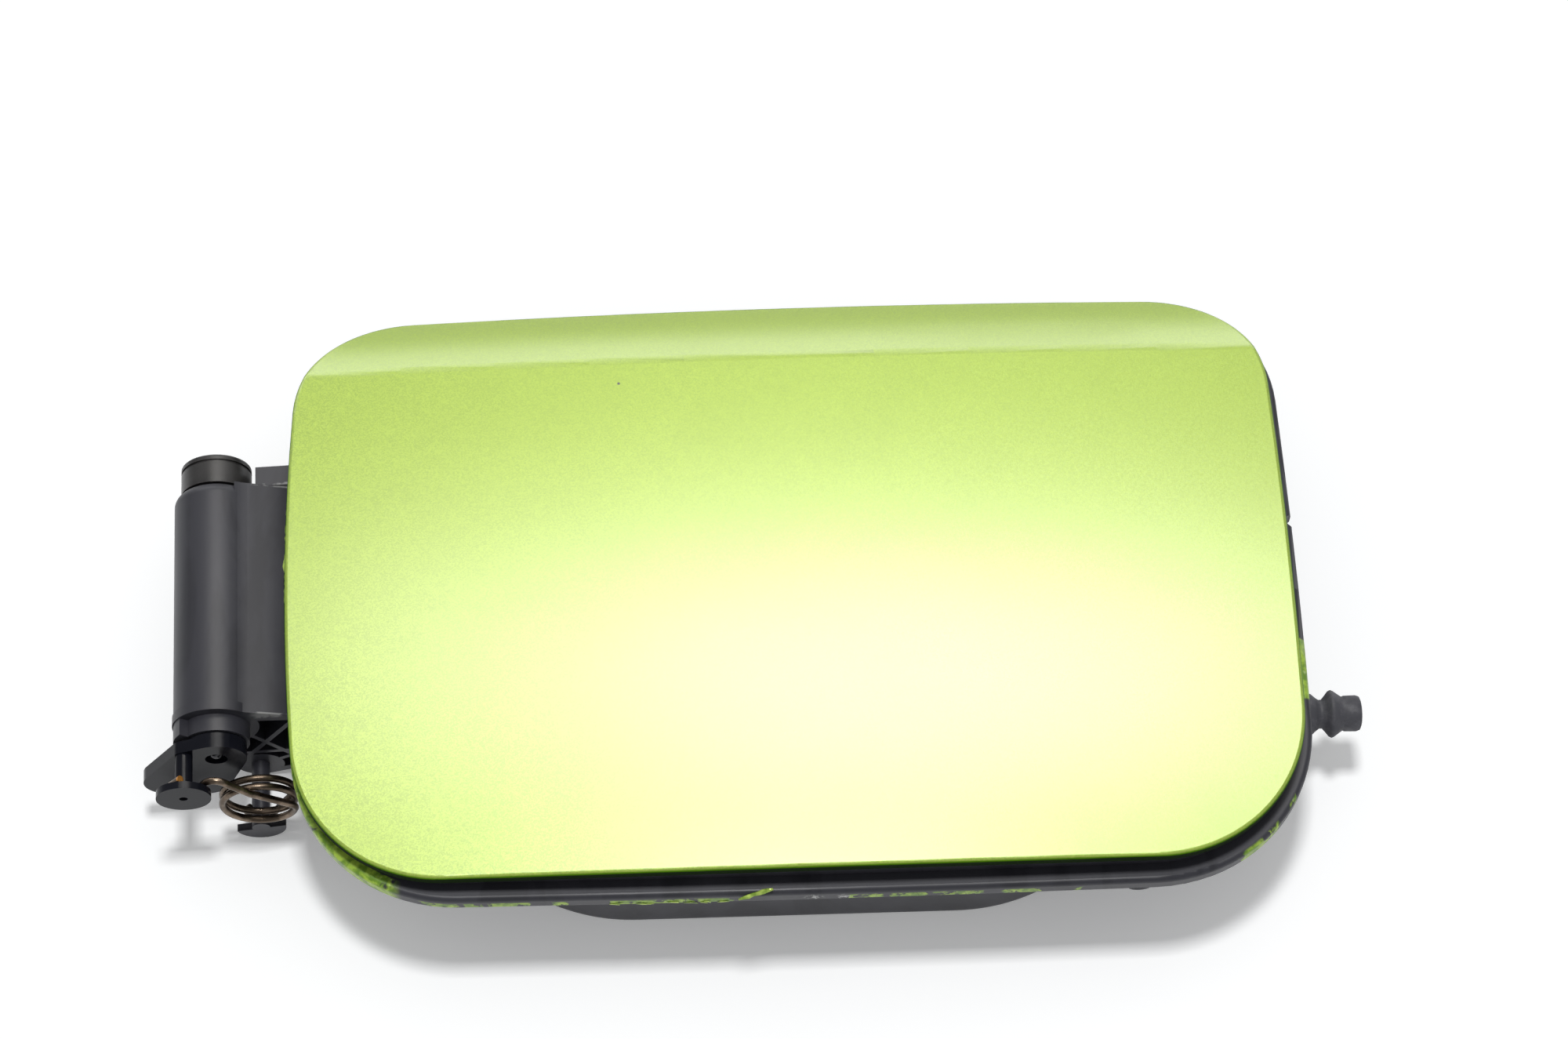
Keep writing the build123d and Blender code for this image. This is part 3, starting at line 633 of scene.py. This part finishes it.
def paint_run(shape):
    """The ragged run of paint that dried along the skin's hinge edge, with one thick bead in it."""
    rng = random.Random(5)
    rings = []
    for step in range(RUN_STEPS + 1):
        run = step / RUN_STEPS
        across = RUN_FAR_END - RUN_LENGTH * run
        point, normal, _, _ = skin_tree.find_nearest(panel_point(RUN_ALONG, across, RUN_HEIGHT))
        bead = BEAD_THICK * math.exp(-((across - BEAD_AT) / BEAD_WIDTH) ** 2)
        ragged = RUN_RAGGED * rng.random() * math.sin(math.pi * run)
        thick = (RUN_THIN + ragged + bead) * MM
        centre = point + normal * 0.3 * thick
        angles = [2 * math.pi * turn / RUN_AROUND for turn in range(RUN_AROUND)]
        offsets = [Vector((math.cos(a), 0.0, RUN_TALL * math.sin(a))) for a in angles]
        rings.append([shape.verts.new(centre + offset * thick) for offset in offsets])
    join_rings(shape, rings, RUN_AROUND)
    shape.faces.new(rings[0])
    shape.faces.new(list(reversed(rings[-1])))


# The rubber buffer's outline: distance out from the latch wall's face, and radius.
BUFFER_FACE = (102.75, -27.0, -5.0)
BUFFER_OUTLINE = [
    (-6.7, 0.0), (-6.7, 2.9), (-2.2, 4.0), (-2.2, 2.88), (0.0, 2.88), (0.0, 4.75), (3.6, 4.6), (4.6, 4.25),
    (5.5, 3.45), (6.2, 2.98), (6.8, 3.0), (7.5, 3.8), (8.2, 4.7), (8.7, 4.95), (9.2, 4.75), (10.1, 4.1),
    (10.8, 3.62), (11.1, 3.52), (11.35, 3.7), (13.8, 3.74), (14.5, 3.5), (14.78, 2.9), (14.78, 0.0),
]
BUFFER_AROUND = 40


def moulded_buffer(shape):
    """The rubber buffer turned from its outline: barb, groove, cone, waist, bulge and tip."""
    along, across, height = BUFFER_FACE
    start = panel_point(along, across, height)
    ahead = (panel_point(along + 1.0, across, height) - start).normalized()
    side = UP.cross(ahead)
    angles = [2 * math.pi * step / BUFFER_AROUND for step in range(BUFFER_AROUND)]
    spokes = [UP * math.cos(a) + side * math.sin(a) for a in angles]
    rings = []
    for out, radius in BUFFER_OUTLINE:
        centre = start + ahead * out * MM
        if radius == 0.0:
            rings.append([shape.verts.new(centre)])
        else:
            rings.append([shape.verts.new(centre + spoke * radius * MM) for spoke in spokes])
    join_rings(shape, rings, BUFFER_AROUND)


add_piece("near_lip_flakes", near_flakes, flake_material, "door")
add_piece("rim_lump", rim_lump, carrier_material, "door")
add_piece("curled_flake", curled_flake, flake_material, "door")
add_piece("paint_run", paint_run, flake_material, "door")
buffer_piece = add_piece("buffer_plug", moulded_buffer, buffer_material, "door")
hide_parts("rubber_buffer")


# The table: size and middle in metres, its two whites, and its own light where it is seen.
FLOOR_SIZE = 8.0
FLOOR_MIDDLE = (0.12, -0.04)
FLOOR_DARK = (0.895, 0.905, 0.91, 1)
FLOOR_PALE = (0.915, 0.922, 0.925, 1)
FLOOR_GLOW = 0.2


def add_floor():
    """A plain pale table under the dish."""
    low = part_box("carrier")[0].z
    bpy.ops.mesh.primitive_plane_add(size=FLOOR_SIZE, location=(*FLOOR_MIDDLE, low))
    floor = bpy.context.object
    floor.name = "floor"
    g = Graph("pale_table")
    tone = g.mix(g.patches(3, 0.35, 0.65, detail=3), FLOOR_DARK, FLOOR_PALE)
    g.look(base_color=tone, roughness=0.6, specular_ior_level=0.2)
    path = g.node("ShaderNodeLightPath")
    seen = g.most(path.outputs["Is Camera Ray"], path.outputs["Is Glossy Ray"])
    g.look(emission_color=(1, 1, 1, 1), emission_strength=g.product(seen, FLOOR_GLOW))
    floor.data.materials.append(g.material)


ROOM_WHITE = (0.985, 0.992, 1.0, 1)
ROOM_FILL = 0.42
ROOM_SEEN = 0.4


def add_world():
    """Even white surroundings, a little dimmer where they are seen than where they light."""
    world = bpy.data.worlds.new("white_room")
    bpy.context.scene.world = world
    world.use_nodes = True
    tree = world.node_tree
    background = tree.nodes["Background"]
    background.inputs["Color"].default_value = ROOM_WHITE
    path = tree.nodes.new("ShaderNodeLightPath")
    seen = tree.nodes.new("ShaderNodeMath")
    seen.operation = "MAXIMUM"
    tree.links.new(path.outputs["Is Camera Ray"], seen.inputs[0])
    tree.links.new(path.outputs["Is Glossy Ray"], seen.inputs[1])
    level = tree.nodes.new("ShaderNodeMapRange")
    level.inputs["To Min"].default_value = ROOM_FILL
    level.inputs["To Max"].default_value = ROOM_SEEN
    tree.links.new(seen.outputs[0], level.inputs["Value"])
    tree.links.new(level.outputs[0], background.inputs["Strength"])


WHITE = (1.0, 1.0, 1.0)
WARM = (1.0, 0.97, 0.9)
CARD_DIRECTION = (0.04, 0.39, 0.92)
# Each lamp aims at a place on the panel in millimetres, from a distance, with a width and depth in metres and
# a power in watts. A sheen card shows in gloss alone.
LAMPS = [
    dict(name="overhead", aim=(0, -30, 10), direction=(0.0, 0.03, 1.0), distance=1.2,
         width=0.15, depth=0.15, power=8.2, tint=WHITE, only_sheen=False),
    dict(name="wide_card", aim=(42, -26, 16), direction=CARD_DIRECTION, distance=0.9,
         width=0.74, depth=0.19, power=2.55, tint=WARM, only_sheen=True),
    dict(name="bright_card", aim=(58, -22, 16), direction=CARD_DIRECTION, distance=0.9,
         width=0.36, depth=0.16, power=0.8, tint=WHITE, only_sheen=True),
    dict(name="far_card", aim=(-10, 60, 10), direction=(-0.05, 0.88, 0.47), distance=0.8,
         width=1.4, depth=0.3, power=3.6, tint=WHITE, only_sheen=True),
]


def add_lamp(name, aim, direction, distance, width, depth, power, tint, only_sheen):
    """A soft rectangular lamp at a distance from the place it aims at."""
    lamp = bpy.data.lights.new(name, "AREA")
    lamp.shape = "RECTANGLE"
    lamp.size = width
    lamp.size_y = depth
    lamp.energy = power
    lamp.color = tint
    stand = bpy.data.objects.new(name, lamp)
    away = Vector(direction).normalized()
    stand.location = panel_point(*aim) + away * distance
    stand.rotation_mode = "QUATERNION"
    stand.rotation_quaternion = away.to_track_quat("Z", "Y")
    stand.visible_diffuse = not only_sheen
    bpy.context.scene.collection.objects.link(stand)


# The camera: lens and sensor width, place in the row frame, and turns about X, Y and Z in degrees.
LENS = 81.0
SENSOR_WIDTH = 36.0
CAMERA_PLACE = (94.2, -361.5, 660.2)
CAMERA_TURN = (27.6, 0.0, -4.2)


def add_camera():
    """The photograph's view: a long lens from the near side, high over the door."""
    lens = bpy.data.cameras.new("camera")
    lens.sensor_width = SENSOR_WIDTH
    lens.lens = LENS
    camera = bpy.data.objects.new("camera", lens)
    camera.location = Vector(CAMERA_PLACE) * MM
    camera.rotation_euler = Euler([math.radians(angle) for angle in CAMERA_TURN])
    bpy.context.scene.collection.objects.link(camera)
    bpy.context.scene.camera = camera


add_floor()
add_world()
for lamp_values in LAMPS:
    add_lamp(**lamp_values)
add_camera()
bpy.context.scene.view_settings.view_transform = "Standard"
